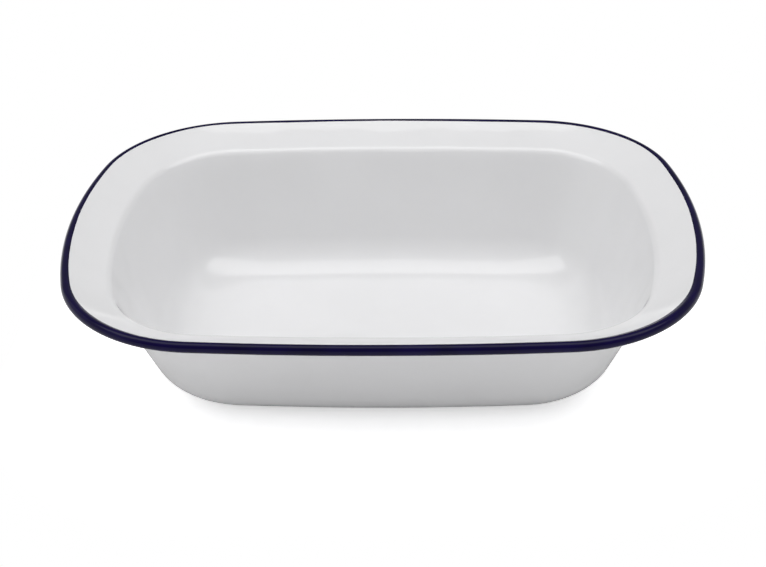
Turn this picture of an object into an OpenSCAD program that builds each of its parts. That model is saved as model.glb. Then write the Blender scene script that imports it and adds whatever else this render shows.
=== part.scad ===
// Oblong enamelled pie dish.
// One steel sheet is pressed into a floor, a leaning wall and a wide rising lip,
// and its edge is rolled under into a hollow bead. White enamel is fired on the
// food side and on the underside, and blue enamel over the bead.
// The origin is the centre of the base, +X runs along the length and +Z is up.

/* [Plan] */
// Length over the rim bead
dish_length = 280; // [220:1:360]
// Width over the rim bead
dish_width = 212; // [185:1:270]
// Plan radius of the corners at the outer edge of the rim
corner_r = 63.5; // [50:0.5:75]
// Plan radius of the corners where the wall runs into the floor
foot_corner_r = 33; // [24:0.5:40]
// Half angle of the arc that bows each long side outwards
side_bow = 3.6; // [1:0.1:6]
// Half angle of the arc that bows each end outwards
end_bow = 13.2; // [3:0.2:18]

/* [Section] */
// Height from the table to the top of the rim
dish_height = 64; // [45:1:85]
// Plan width of the lip, from the outer edge of the rim to the shoulder
lip_w = 20.5; // [14:0.5:26]
// Rise of the lip towards the rim, in degrees from level
lip_slope = 23.5; // [5:0.5:30]
// Lean of the wall, in degrees from upright
wall_draft = 22; // [10:0.5:30]
// Radius of the bend between wall and lip, on the food side
shoulder_r = 5; // [3:0.5:10]
// Radius of the bend between floor and wall, on the food side
floor_r = 25; // [8:0.5:30]

/* [Sheet and enamel] */
// Thickness of the steel sheet
steel_t = 0.8; // [0.5:0.05:1.1]
// Thickness of each fired enamel coat
enamel_t = 0.25; // [0.15:0.05:0.4]

/* [Rim bead] */
// Outer diameter of the rolled bead, over its enamel
bead_d = 4.4; // [3.8:0.1:7]
// Slit left between the rolled edge and the underside of the lip
mouth_gap = 0.2; // [0.1:0.05:0.5]

/* [Hidden] */

steel_colour = [0.60, 0.61, 0.63];
white_enamel = [0.93, 0.93, 0.94];
blue_enamel = [0.09, 0.08, 0.26];

// Steps on each arc: in plan per quarter, and along the section
end_steps = 4;
corner_steps = 10;
side_steps = 2;
floor_steps = 5;
shoulder_steps = 3;
curl_steps = 10;

// Depths below the food surface at which one layer ends and the next begins
steel_top = enamel_t;
steel_bottom = steel_top + steel_t;
sheet_t = steel_bottom + enamel_t;

// Section of the food surface: x runs outwards from the rim's outer edge, z up from the table
bead_r = bead_d / 2;
hollow_r = bead_r - steel_bottom;
curl_rest = acos((bead_r - sheet_t - mouth_gap) / bead_r);
curl_turn = 360 - curl_rest;
wall_rise = 90 - wall_draft;
bead_centre = [-bead_r, dish_height - bead_r];
curl_start = bead_centre + bead_r * normal(lip_slope);
shoulder = [-lip_w, curl_start.y - (curl_start.x + lip_w) * tan(lip_slope)];
foot = [shoulder.x - (shoulder.y - sheet_t) / tan(wall_rise), sheet_t];
floor_edge = foot - floor_r * tan(wall_rise / 2) * heading(0);
wall_top = shoulder - shoulder_r * tan((wall_rise - lip_slope) / 2) * heading(wall_rise);
mouth = curl_start - hollow_r * sin(curl_rest) * heading(lip_slope);

floor_bend = bend(floor_edge, 0, wall_rise, floor_r, floor_steps);
shoulder_bend = bend(wall_top, wall_rise, lip_slope, shoulder_r, shoulder_steps);
curl = bend(curl_start, lip_slope, lip_slope - curl_turn, bead_r, curl_steps);
pan_to_mouth = concat(floor_bend, shoulder_bend, [[mouth.x, mouth.y, lip_slope]]);

// Normal directions of the plan outline in its first quarter, from the end to the long side
quarter_angles = concat(
    [for (i = [0 : end_steps - 1]) end_bow * i / end_steps],
    [for (i = [0 : corner_steps - 1]) end_bow + (90 - side_bow - end_bow) * i / corner_steps],
    [for (i = [0 : side_steps]) 90 - side_bow + side_bow * i / side_steps]
);
quarter_n = len(quarter_angles) - 1;
ring_n = 4 * quarter_n;
bow_det = sin(side_bow) * sin(end_bow) - (1 - cos(side_bow)) * (1 - cos(end_bow));

// Unit vectors along and across a heading, which is measured up from level
function heading(h) = [cos(h), sin(h)];
function normal(h) = [-sin(h), cos(h)];

// Stations [x, z, heading] on an arc of radius r that leaves p at h0 and ends at h1
function bend(p, h0, h1, r, n) =
    let (
        side = sign(h1 - h0),
        centre = p + side * r * normal(h0)
    )
    [for (i = [0 : n])
        let (
            h = h0 + (h1 - h0) * i / n,
            q = centre - side * r * normal(h)
        )
        [q.x, q.y, h]
    ];

// Plan radius of the corners: the lip is an even offset, and the wall grows rounder to its foot
function plan_radius(x) =
    x > shoulder.x
        ? corner_r + x
        : lookup_line(x, shoulder.x, corner_r - lip_w, foot.x, foot_corner_r);

function lookup_line(x, x0, y0, x1, y1) = y0 + (x - x0) * (y1 - y0) / (x1 - x0);

// Plan outline at a distance x from the rim's outer edge, made of arcs that meet at tangents
function outline(x) =
    let (
        half_l = dish_length / 2 + x,
        half_w = dish_width / 2 + x,
        r = plan_radius(x),
        side_r = r + ((half_l - r) * sin(end_bow) - (half_w - r) * (1 - cos(end_bow))) / bow_det,
        end_r = r + ((half_w - r) * sin(side_bow) - (half_l - r) * (1 - cos(side_bow))) / bow_det,
        corner = [(side_r - r) * sin(side_bow), (end_r - r) * sin(end_bow)],
        quarter = [for (a = quarter_angles)
            a <= end_bow ? [half_l - end_r, 0] + end_r * heading(a)
            : a >= 90 - side_bow ? [0, half_w - side_r] + side_r * heading(a)
            : corner + r * heading(a)
        ]
    )
    concat(
        [for (i = [0 : quarter_n - 1]) quarter[i]],
        [for (i = [quarter_n : -1 : 1]) [-quarter[i].x, quarter[i].y]],
        [for (i = [0 : quarter_n - 1]) -quarter[i]],
        [for (i = [quarter_n : -1 : 1]) [quarter[i].x, -quarter[i].y]]
    );

// Closed ring of points at one station, at a depth below the food surface
function ring(station, depth) =
    let (
        p = [station[0], station[1]] - depth * normal(station[2])
    )
    [for (q = outline(p.x)) [q.x, q.y, p.y]];

// Triangles between rings i and j; both faces of a layer are split along the same diagonals
function strip(i, j, underside = false) =
    [for (k = [0 : ring_n - 1])
        let (
            l = (k + 1) % ring_n,
            a = i * ring_n + k,
            b = i * ring_n + l,
            c = j * ring_n + l,
            d = j * ring_n + k
        )
        each (underside ? [[a, b, d], [b, c, d]] : [[a, b, c], [a, c, d]])
    ];

// One layer of the dish: the space between two depths along a run of stations
module layer(path, top, bottom, has_floor) {
    m = len(path);
    points = concat(
        [for (station = path) each ring(station, top)],
        [for (station = path) each ring(station, bottom)]
    );
    floor_faces = [
        [for (k = [ring_n - 1 : -1 : 0]) k],
        [for (k = [0 : ring_n - 1]) m * ring_n + k]
    ];
    faces = concat(
        [for (i = [0 : m - 2]) each strip(i, i + 1)],
        strip(m - 1, 2 * m - 1),
        [for (i = [m - 1 : -1 : 1]) each strip(m + i, m + i - 1, underside = true)],
        has_floor ? floor_faces : strip(m, 0)
    );
    polyhedron(points = points, faces = faces, convexity = 8);
}

// Pressed sheet with its rolled edge
module steel_pan() {
    color(steel_colour)
        layer(concat(pan_to_mouth, curl), steel_top, steel_bottom, has_floor = true);
}

// White coat on the food side, from the floor to the top of the lip
module inside_enamel() {
    color(white_enamel)
        layer(concat(pan_to_mouth, [curl[0]]), 0, steel_top, has_floor = true);
}

// White coat on the underside, which the dish stands on
module outside_enamel() {
    color(white_enamel)
        layer(pan_to_mouth, steel_bottom, sheet_t, has_floor = true);
}

// Blue coat over the bead, from the top of the lip round to the rolled edge
module rim_enamel() {
    color(blue_enamel)
        layer(curl, 0, steel_top, has_floor = false);
}

steel_pan();
inside_enamel();
outside_enamel();
rim_enamel();
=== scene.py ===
"""Looks of the oblong enamel pie dish: glazed coats, rolled rim, studio light and camera."""

import math

import bpy
import numpy as np
from mathutils import Matrix, Vector


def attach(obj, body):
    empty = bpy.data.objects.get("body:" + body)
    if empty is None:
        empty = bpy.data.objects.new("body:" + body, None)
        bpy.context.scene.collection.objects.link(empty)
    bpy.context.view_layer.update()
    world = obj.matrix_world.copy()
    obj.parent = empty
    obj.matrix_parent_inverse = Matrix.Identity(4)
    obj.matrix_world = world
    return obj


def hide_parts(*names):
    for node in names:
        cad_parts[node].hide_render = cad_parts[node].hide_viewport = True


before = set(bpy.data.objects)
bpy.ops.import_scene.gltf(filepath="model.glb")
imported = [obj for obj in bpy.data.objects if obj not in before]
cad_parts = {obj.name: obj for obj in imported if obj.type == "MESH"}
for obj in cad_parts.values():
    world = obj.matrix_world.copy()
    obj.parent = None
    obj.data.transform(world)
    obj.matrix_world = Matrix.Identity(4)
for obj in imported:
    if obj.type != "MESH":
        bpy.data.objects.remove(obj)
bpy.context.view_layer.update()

MM = 0.001

# Sizes of the dish in millimetres, the same as the solids
LENGTH, WIDTH, HEIGHT = 280.0, 212.0, 64.0
CORNER_R, FOOT_CORNER_R = 63.5, 33.0
SIDE_BOW, END_BOW = math.radians(3.6), math.radians(13.2)
LIP_W, LIP_SLOPE = 20.5, math.radians(23.5)
WALL_RISE = math.radians(90 - 22)
SHOULDER_R, FLOOR_R = 5.0, 25.0
STEEL_T, ENAMEL_T = 0.8, 0.25
BEAD_R, MOUTH_GAP = 2.2, 0.2

# Turn of the lip on its way to the bead, which the solids leave straight
LIP_SWEEP = math.radians(7.5)

# Depths below the food surface at which one layer ends and the next begins, and the bead's hollow
STEEL_TOP = ENAMEL_T
STEEL_BOTTOM = ENAMEL_T + STEEL_T
SHEET_T = STEEL_BOTTOM + ENAMEL_T
HOLLOW_R = BEAD_R - STEEL_BOTTOM

# Steps along the section, and round each quarter of the plan
FLOOR_STEPS, WALL_STEPS, SHOULDER_STEPS, LIP_STEPS, CURL_STEPS = 14, 8, 10, 8, 40
END_STEPS, CORNER_STEPS, SIDE_STEPS = 12, 26, 12

# Sizes of the rings that fill the floor, as shares of its edge
FLOOR_RINGS = (0.15, 0.4, 0.6, 0.8)
SHARP_ANGLE = math.radians(50)


# Unit vectors along and across a heading, which is measured up from level
def heading(h):
    return np.array([math.cos(h), math.sin(h)])


def normal(h):
    return np.array([-math.sin(h), math.cos(h)])


def bend(p, h0, h1, r, n):
    """Stations (x, z, heading) on an arc of radius r that leaves p at h0 and ends at h1."""
    side = math.copysign(1, h1 - h0)
    centre = p + side * r * normal(h0)
    stations = []
    for h in np.linspace(h0, h1, n + 1):
        q = centre - side * r * normal(h)
        stations.append((q[0], q[1], h))
    return stations


def run(a, b, n):
    """Stations between two others on a straight stretch, without its ends."""
    return [tuple(np.array(a) + (np.array(b) - np.array(a)) * i / n) for i in range(1, n)]


# Section of the food surface: x runs outwards from the rim's outer edge, z up from the table
LIP_IN, LIP_OUT = LIP_SLOPE - LIP_SWEEP / 2, LIP_SLOPE + LIP_SWEEP / 2
CURL_REST = math.acos((BEAD_R - SHEET_T - MOUTH_GAP) / BEAD_R)
CURL_TURN = 2 * math.pi - CURL_REST
BEAD = np.array([-BEAD_R, HEIGHT - BEAD_R])
STRAIGHT_END = BEAD + BEAD_R * normal(LIP_SLOPE)
SHOULDER = np.array([-LIP_W, STRAIGHT_END[1] - (STRAIGHT_END[0] + LIP_W) * math.tan(LIP_SLOPE)])
FOOT = np.array([SHOULDER[0] - (SHOULDER[1] - SHEET_T) / math.tan(WALL_RISE), SHEET_T])
FLOOR_EDGE = FOOT - FLOOR_R * math.tan(WALL_RISE / 2) * heading(0)

floor_bend = bend(FLOOR_EDGE, 0, WALL_RISE, FLOOR_R, FLOOR_STEPS)
curl_start = BEAD + BEAD_R * normal(LIP_OUT)
curl = bend(curl_start, LIP_OUT, LIP_OUT - CURL_TURN, BEAD_R, CURL_STEPS)

# The shoulder bend slides along the wall to where the swept lip can reach the bead
trial = bend(SHOULDER, WALL_RISE, LIP_IN, SHOULDER_R, SHOULDER_STEPS)
miss = (curl_start - np.array(trial[-1][:2])) @ normal(LIP_SLOPE)
wall_top = SHOULDER + miss / (heading(WALL_RISE) @ normal(LIP_SLOPE)) * heading(WALL_RISE)
shoulder_bend = bend(wall_top, WALL_RISE, LIP_IN, SHOULDER_R, SHOULDER_STEPS)
wall = run(floor_bend[-1], shoulder_bend[0], WALL_STEPS)

# The lip is an arc, cut off above the place where the rolled edge comes back to it
lip_start = np.array(shoulder_bend[-1][:2])
lip_r = np.linalg.norm(curl_start - lip_start) / (2 * math.sin(LIP_SWEEP / 2))
mouth_share = 1 - HOLLOW_R * math.sin(CURL_REST) / (lip_r * LIP_SWEEP)
lip = bend(lip_start, LIP_IN, LIP_IN + LIP_SWEEP * mouth_share, lip_r, LIP_STEPS)[1:]
pan = floor_bend + wall + shoulder_bend + lip

# Normal directions of the plan outline in its first quarter, and how the others mirror it
quarter = np.concatenate([
    np.linspace(0, END_BOW, END_STEPS, endpoint=False),
    np.linspace(END_BOW, math.pi / 2 - SIDE_BOW, CORNER_STEPS, endpoint=False),
    np.linspace(math.pi / 2 - SIDE_BOW, math.pi / 2, SIDE_STEPS + 1),
])
there = np.arange(len(quarter) - 1)
back_again = there[::-1] + 1
ring_a = quarter[np.concatenate([there, back_again, there, back_again])]
sign_x = np.repeat([1, -1, -1, 1], len(there))
sign_y = np.repeat([1, 1, -1, -1], len(there))
RING_N = len(ring_a)
BOW_DET = math.sin(SIDE_BOW) * math.sin(END_BOW) - (1 - math.cos(SIDE_BOW)) * (1 - math.cos(END_BOW))


def plan_radius(x):
    """Plan radius of the corners: the lip is an even offset, and the wall changes down to its foot."""
    t = (x - SHOULDER[0]) / (FOOT[0] - SHOULDER[0])
    return np.where(x > SHOULDER[0], CORNER_R + x, (CORNER_R - LIP_W) * (1 - t) + FOOT_CORNER_R * t)


def outline(x):
    """Plan outline at distances x from the rim's outer edge, made of arcs that meet at tangents."""
    half_l, half_w, r = LENGTH / 2 + x, WIDTH / 2 + x, plan_radius(x)
    side_r = r + ((half_l - r) * math.sin(END_BOW) - (half_w - r) * (1 - math.cos(END_BOW))) / BOW_DET
    end_r = r + ((half_w - r) * math.sin(SIDE_BOW) - (half_l - r) * (1 - math.cos(SIDE_BOW))) / BOW_DET
    on_end = ring_a <= END_BOW
    on_side = ring_a >= math.pi / 2 - SIDE_BOW
    radius = np.where(on_end, end_r, np.where(on_side, side_r, r))
    centre_x = np.where(on_end, half_l - end_r, np.where(on_side, 0, (side_r - r) * math.sin(SIDE_BOW)))
    centre_y = np.where(on_end, 0, np.where(on_side, half_w - side_r, (end_r - r) * math.sin(END_BOW)))
    return (centre_x + radius * np.cos(ring_a)) * sign_x, (centre_y + radius * np.sin(ring_a)) * sign_y


def ring(station, depth):
    """Closed ring of points at a depth below the food surface; the station may vary along it."""
    x, z, h = (np.broadcast_to(v, RING_N) for v in station)
    plan_x, plan_y = outline(x + depth * np.sin(h))
    return np.column_stack([plan_x, plan_y, z - depth * np.cos(h)])


def shell(name, tops, bottoms, has_floor):
    """Closed mesh between two runs of rings, with the floor filled by shrinking rings."""
    rings = list(tops) + list(bottoms[::-1])
    if has_floor:
        start = [tops[0] * [k, k, 1] for k in FLOOR_RINGS]
        end = [bottoms[0] * [k, k, 1] for k in FLOOR_RINGS[::-1]]
        rings = start + rings + end
    n, m = RING_N, len(rings)
    faces = []
    for i in range(m - 1 if has_floor else m):
        j = (i + 1) % m
        for k in range(n):
            after = (k + 1) % n
            faces.append((i * n + k, i * n + after, j * n + after, j * n + k))
    if has_floor:
        faces.append(tuple(range(n - 1, -1, -1)))
        faces.append(tuple((m - 1) * n + k for k in range(n)))
    mesh = bpy.data.meshes.new(name)
    mesh.from_pydata((np.concatenate(rings) * MM).tolist(), [], faces)
    mesh.validate()
    mesh.polygons.foreach_set("use_smooth", [True] * len(mesh.polygons))
    mesh.set_sharp_from_angle(angle=SHARP_ANGLE)
    piece = bpy.data.objects.new(name, mesh)
    bpy.context.scene.collection.objects.link(piece)
    return piece


def layer(name, path, top, bottom):
    """One layer of the dish: the space between two depths along a run of stations."""
    return shell(name, [ring(s, top) for s in path], [ring(s, bottom) for s in path], has_floor=True)


# The blue coat lies over the end of the white one, and its hand-laid edge wanders along the lip.
# Distances run along the surface from the start of the curl, and are below nought on the lip
WHITE_END = 1.0
CURL_END = BEAD_R * CURL_TURN
BLUE_PROUD, BLUE_BITE = 0.06, 0.03

# Mean place of that edge, and its waves: how many go round the rim, with cosine and sine heights
EDGE_MEAN = -0.65
EDGE_WAVES = {
    1: (-0.25, 0.45), 2: (0.04, 0.15), 3: (0.18, 0.30),
    4: (0.34, -0.13), 5: (-0.07, -0.15), 6: (-0.13, 0.0),
    9: (0.04, 0.03), 13: (-0.03, 0.04), 29: (0.0, 0.03),
}

# Rounded edge of the blue coat, as distances past the edge with depths below the white
EDGE_W = 0.8
EDGE_PROFILE = ((0, BLUE_BITE), (0.1, -0.01), (0.25, -0.04), (0.5, -0.055), (EDGE_W, -BLUE_PROUD))

# How far past the edge the underside of the blue coat starts, and rings over the white and the bead
BITE_LEAD = 0.3
LAP_RINGS, BEAD_RINGS = 5, 40


def rim_station(s):
    """Station at a distance s past the start of the curl; below nought it lies on the lip."""
    s = np.asarray(s, float)
    h = LIP_OUT - np.maximum(s, 0) / BEAD_R
    lead = np.minimum(s, 0)
    x = BEAD[0] - BEAD_R * np.sin(h) + lead * math.cos(LIP_OUT)
    z = BEAD[1] + BEAD_R * np.cos(h) + lead * math.sin(LIP_OUT)
    return x, z, h


under_blue = [rim_station(s) for s in np.linspace(0, WHITE_END, LAP_RINGS)]


def blue_rim():
    """Blue coat from its wandering edge on the lip, round the bead to the rolled edge."""
    plan_x, plan_y = outline(0)
    a = np.arctan2(plan_y / WIDTH, plan_x / LENGTH)
    edge = np.full(RING_N, EDGE_MEAN)
    for k, (c, s) in EDGE_WAVES.items():
        edge += c * np.cos(k * a) + s * np.sin(k * a)
    tops = [ring(rim_station(edge + s), depth) for s, depth in EDGE_PROFILE]
    rest = edge + EDGE_W
    for f in np.linspace(0, 1, BEAD_RINGS + 1)[1:]:
        tops.append(ring(rim_station(rest + (CURL_END - rest) * f), -BLUE_PROUD * (1 - f)))
    inner = edge + BITE_LEAD
    bottoms = []
    for f in np.linspace(0, 1, LAP_RINGS):
        bottoms.append(ring(rim_station(inner + (WHITE_END - inner) * f), BLUE_BITE))
    for s in np.linspace(WHITE_END, CURL_END, BEAD_RINGS):
        bottoms.append(ring(rim_station(s), STEEL_TOP))
    return shell("blue_rim", tops, bottoms, has_floor=False)


# Materials
def material(name):
    mat = bpy.data.materials.new(name)
    mat.use_nodes = True
    return mat, mat.node_tree.nodes, mat.node_tree.links


def grey(value):
    return (value, value, value)


def noise(nodes, links, coords, scale, detail):
    node = nodes.new("ShaderNodeTexNoise")
    node.inputs["Scale"].default_value = scale
    node.inputs["Detail"].default_value = detail
    links.new(coords.outputs["Object"], node.inputs["Vector"])
    return node.outputs["Fac"]


def vary(nodes, links, source, stops, socket):
    """Lead a noise through a ramp of colours, given as positions with colours, to a socket."""
    node = nodes.new("ShaderNodeValToRGB")
    for element, (position, colour) in zip(node.color_ramp.elements, stops):
        element.position = position
        element.color = (*colour, 1)
    links.new(source, node.inputs["Fac"])
    links.new(node.outputs["Color"], socket)


def bump(nodes, links, height, strength, distance, normal_from=None):
    node = nodes.new("ShaderNodeBump")
    node.inputs["Strength"].default_value = strength
    node.inputs["Distance"].default_value = distance
    links.new(height, node.inputs["Height"])
    if normal_from is not None:
        links.new(normal_from, node.inputs["Normal"])
    return node.outputs["Normal"]


def white_enamel():
    """White glass fired on steel: slow drift in the white, a soft ripple and a fine orange peel."""
    mat, nodes, links = material("white_glaze")
    shader = nodes["Principled BSDF"]
    shader.inputs["IOR"].default_value = 1.52
    coords = nodes.new("ShaderNodeTexCoord")
    drift = noise(nodes, links, coords, 22, 3)
    whites = [(0.3, (0.81, 0.81, 0.82)), (0.7, (0.83, 0.83, 0.84))]
    vary(nodes, links, drift, whites, shader.inputs["Base Color"])
    gloss = noise(nodes, links, coords, 60, 2)
    vary(nodes, links, gloss, [(0.3, grey(0.03)), (0.7, grey(0.06))], shader.inputs["Roughness"])
    ripple = noise(nodes, links, coords, 45, 1)
    peel = noise(nodes, links, coords, 420, 1)
    soft = bump(nodes, links, ripple, 0.4, 0.0009)
    fine = bump(nodes, links, peel, 0.05, 0.00008, soft)
    links.new(fine, shader.inputs["Normal"])
    return mat


def blue_enamel():
    """Navy glass on the rim: thinner and bluer in places, with a soft ripple."""
    mat, nodes, links = material("navy_glaze")
    shader = nodes["Principled BSDF"]
    shader.inputs["IOR"].default_value = 1.5
    shader.inputs["Specular IOR Level"].default_value = 0.14
    coords = nodes.new("ShaderNodeTexCoord")
    drift = noise(nodes, links, coords, 70, 3)
    navies = [(0.3, (0.002, 0.0003, 0.024)), (0.7, (0.004, 0.0008, 0.042))]
    vary(nodes, links, drift, navies, shader.inputs["Base Color"])
    gloss = noise(nodes, links, coords, 120, 2)
    vary(nodes, links, gloss, [(0.3, grey(0.08)), (0.7, grey(0.15))], shader.inputs["Roughness"])
    ripple = noise(nodes, links, coords, 160, 1)
    links.new(bump(nodes, links, ripple, 0.2, 0.0003), shader.inputs["Normal"])
    return mat


def sheet_steel():
    """Bare enamelling steel, blued a little by the kiln."""
    mat, nodes, links = material("kiln_steel")
    shader = nodes["Principled BSDF"]
    shader.inputs["Metallic"].default_value = 1.0
    coords = nodes.new("ShaderNodeTexCoord")
    scale = noise(nodes, links, coords, 90, 4)
    greys = [(0.35, (0.20, 0.20, 0.22)), (0.65, (0.42, 0.42, 0.43))]
    vary(nodes, links, scale, greys, shader.inputs["Base Color"])
    grain = noise(nodes, links, coords, 900, 2)
    vary(nodes, links, grain, [(0.3, grey(0.35)), (0.7, grey(0.55))], shader.inputs["Roughness"])
    return mat


white, blue, steel = white_enamel(), blue_enamel(), sheet_steel()


# Pieces
def dress(piece, node, mat):
    piece.data.materials.append(mat)
    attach(piece, "root")
    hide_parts(node)


dress(layer("pressed_sheet", pan + curl, STEEL_TOP, STEEL_BOTTOM), "steel_pan", steel)
dress(layer("white_inside", pan + under_blue, 0, STEEL_TOP), "inside_enamel", white)
dress(layer("white_outside", pan, STEEL_BOTTOM, SHEET_T), "outside_enamel", white)
dress(blue_rim(), "rim_enamel", blue)


# Nodes that the floor and the world share
def combine(nodes, links, operation, first, second):
    node = nodes.new("ShaderNodeMath")
    node.operation = operation
    links.new(first, node.inputs[0])
    links.new(second, node.inputs[1])
    return node.outputs["Value"]


def looking(nodes, links):
    """Two sockets: 1 for camera rays, and 1 for camera, glossy and transmission rays."""
    path = nodes.new("ShaderNodeLightPath")
    camera_ray = path.outputs["Is Camera Ray"]
    seen = combine(nodes, links, "MAXIMUM", camera_ray, path.outputs["Is Glossy Ray"])
    seen = combine(nodes, links, "MAXIMUM", seen, path.outputs["Is Transmission Ray"])
    return camera_ray, seen


def fade(nodes, links, value, full, gone):
    """1 below one value and 0 above another, with a smooth change between them."""
    node = nodes.new("ShaderNodeMapRange")
    node.interpolation_type = "SMOOTHSTEP"
    node.inputs["From Min"].default_value = gone
    node.inputs["From Max"].default_value = full
    links.new(value, node.inputs["Value"])
    return node.outputs["Result"]


# Floor: white to the camera and in reflections; near the dish the camera sees its shadow
FLOOR_SIZE, FLOOR_DROP = 12.0, 0.0001
FLOOR_WHITE = 0.95

# Near the dish, the camera sees this glow and this paint, which add up to white out of the shadow
SHADE_GLOW, SHADE_PAINT = 0.38, 1.69

# Half size of a box inside the foot, and distances from it between which the shaded floor fades
FOOT_BOX = (0.075, 0.042, 0)
SHADE_FULL, SHADE_GONE = 0.05, 0.10


def near_dish(nodes, links):
    """1 beside the dish, fading to 0 over the next few centimetres of floor."""
    def step(operation, source, constant=(0, 0, 0)):
        node = nodes.new("ShaderNodeVectorMath")
        node.operation = operation
        node.inputs[1].default_value = constant
        links.new(source, node.inputs[0])
        return node

    coords = nodes.new("ShaderNodeTexCoord")
    away = step("ABSOLUTE", coords.outputs["Object"])
    past = step("SUBTRACT", away.outputs["Vector"], FOOT_BOX)
    beyond = step("MAXIMUM", past.outputs["Vector"])
    distance = step("LENGTH", beyond.outputs["Vector"])
    return fade(nodes, links, distance.outputs["Value"], SHADE_FULL, SHADE_GONE)


def floor_material():
    mat, nodes, links = material("studio_floor")
    nodes.remove(nodes["Principled BSDF"])

    def mix(factor, first, second):
        node = nodes.new("ShaderNodeMixShader")
        links.new(factor, node.inputs["Fac"])
        links.new(first, node.inputs[1])
        links.new(second, node.inputs[2])
        return node.outputs["Shader"]

    def paint(kind, value):
        node = nodes.new(kind)
        node.inputs["Color"].default_value = (*grey(value), 1)
        return node.outputs[0]

    shaded = nodes.new("ShaderNodeAddShader")
    links.new(paint("ShaderNodeEmission", SHADE_GLOW), shaded.inputs[0])
    links.new(paint("ShaderNodeBsdfDiffuse", SHADE_PAINT), shaded.inputs[1])
    plain = paint("ShaderNodeBsdfDiffuse", FLOOR_WHITE)
    camera_ray, seen = looking(nodes, links)
    near = mix(camera_ray, plain, shaded.outputs["Shader"])
    far = mix(seen, plain, paint("ShaderNodeEmission", 1.0))
    links.new(mix(near_dish(nodes, links), far, near), nodes["Material Output"].inputs["Surface"])
    return mat


def lay_floor():
    mesh = bpy.data.meshes.new("floor")
    h = FLOOR_SIZE / 2
    mesh.from_pydata([(-h, -h, 0), (h, -h, 0), (h, h, 0), (-h, h, 0)], [], [(0, 1, 2, 3)])
    mesh.materials.append(floor_material())
    obj = bpy.data.objects.new("floor", mesh)
    obj.location.z = -FLOOR_DROP
    bpy.context.scene.collection.objects.link(obj)


lay_floor()


# Lamps: a softbox overhead, weaker ones behind and in front of it, side panels and a low front fill
DISH = (0, 0, 0.04)
SOFTBOX_Z = 1.0


def area(name, location, target, size, radiance):
    """Rectangular lamp of an even radiance, which the camera doesn't see."""
    light = bpy.data.lights.new(name, "AREA")
    light.shape = "RECTANGLE"
    light.size, light.size_y = size
    light.energy = radiance * math.pi * size[0] * size[1]
    obj = bpy.data.objects.new(name, light)
    obj.location = location
    obj.rotation_euler = (Vector(target) - Vector(location)).to_track_quat("-Z", "Y").to_euler()
    obj.visible_camera = False
    bpy.context.scene.collection.objects.link(obj)
    return obj


def softbox(name, y, size, radiance):
    area(name, (0, y, SOFTBOX_Z), (0, y, 0), size, radiance)


softbox("softbox_top", 0.005, (2.1, 0.57), 2.25)
softbox("softbox_back", 0.325, (2.1, 0.07), 1.3)
softbox("softbox_front", -0.465, (1.4, 0.37), 0.4)
area("panel_left", (-1.1, 0, 0.5), DISH, (1.6, 0.95), 0.38)
area("panel_right", (1.1, 0, 0.5), DISH, (1.6, 0.95), 0.2)

# The fill stays out of reflections, where it would be a smudge on the back wall
fill = area("fill_front", (0, -1.3, 0.085), DISH, (1.6, 0.16), 2.35)
fill.visible_glossy = False

# World: a dim even light, white to the camera, and in reflections white near the horizon only.
# Its white ends between two heights, as sines of the angle above the horizon
WORLD_LIGHT, WORLD_WHITE = 0.3, 1.0
WHITE_FULL, WHITE_GONE = 0.04, 0.14


def studio_world():
    world = bpy.data.worlds.new("studio")
    world.use_nodes = True
    nodes, links = world.node_tree.nodes, world.node_tree.links
    direction = nodes.new("ShaderNodeTexCoord")
    split = nodes.new("ShaderNodeSeparateXYZ")
    links.new(direction.outputs["Generated"], split.inputs["Vector"])
    low = fade(nodes, links, split.outputs["Z"], WHITE_FULL, WHITE_GONE)
    camera_ray, seen = looking(nodes, links)
    reflected = combine(nodes, links, "MULTIPLY", seen, low)
    white_share = combine(nodes, links, "MAXIMUM", camera_ray, reflected)
    strength = nodes.new("ShaderNodeMapRange")
    strength.inputs["To Min"].default_value = WORLD_LIGHT
    strength.inputs["To Max"].default_value = WORLD_WHITE
    links.new(white_share, strength.inputs["Value"])
    background = nodes["Background"]
    background.inputs["Color"].default_value = (1, 1, 1, 1)
    links.new(strength.outputs["Result"], background.inputs["Strength"])
    return world


bpy.context.scene.world = studio_world()

# Camera: focal length in pixels of an image this wide, and distances in millimetres
IMAGE_W, FOCAL_PX, SENSOR_W = 766, 1612.478, 36
ELEVATION, YAW, ROLL = math.radians(30.7503), math.radians(1.8298), math.radians(-1.0655)
DISTANCE, AIM_X, AIM_Z = 733.586, -0.5492, 30.3730


def place_camera():
    back = np.array([
        math.sin(YAW) * math.cos(ELEVATION),
        -math.cos(YAW) * math.cos(ELEVATION),
        math.sin(ELEVATION),
    ])
    right = np.array([math.cos(YAW), math.sin(YAW), 0])
    up = np.cross(back, right)
    right_rolled = math.cos(ROLL) * right + math.sin(ROLL) * up
    up_rolled = math.cos(ROLL) * up - math.sin(ROLL) * right
    place = (AIM_X * right + np.array([0, 0, AIM_Z]) + DISTANCE * back) * MM
    camera = bpy.data.cameras.new("camera")
    camera.sensor_width = SENSOR_W
    camera.lens = FOCAL_PX / IMAGE_W * SENSOR_W
    obj = bpy.data.objects.new("camera", camera)
    bpy.context.scene.collection.objects.link(obj)
    rows = np.column_stack([right_rolled, up_rolled, back, place]).tolist()
    obj.matrix_world = Matrix(rows + [[0, 0, 0, 1]])
    bpy.context.scene.camera = obj


place_camera()

bpy.context.scene.view_settings.view_transform = "Standard"
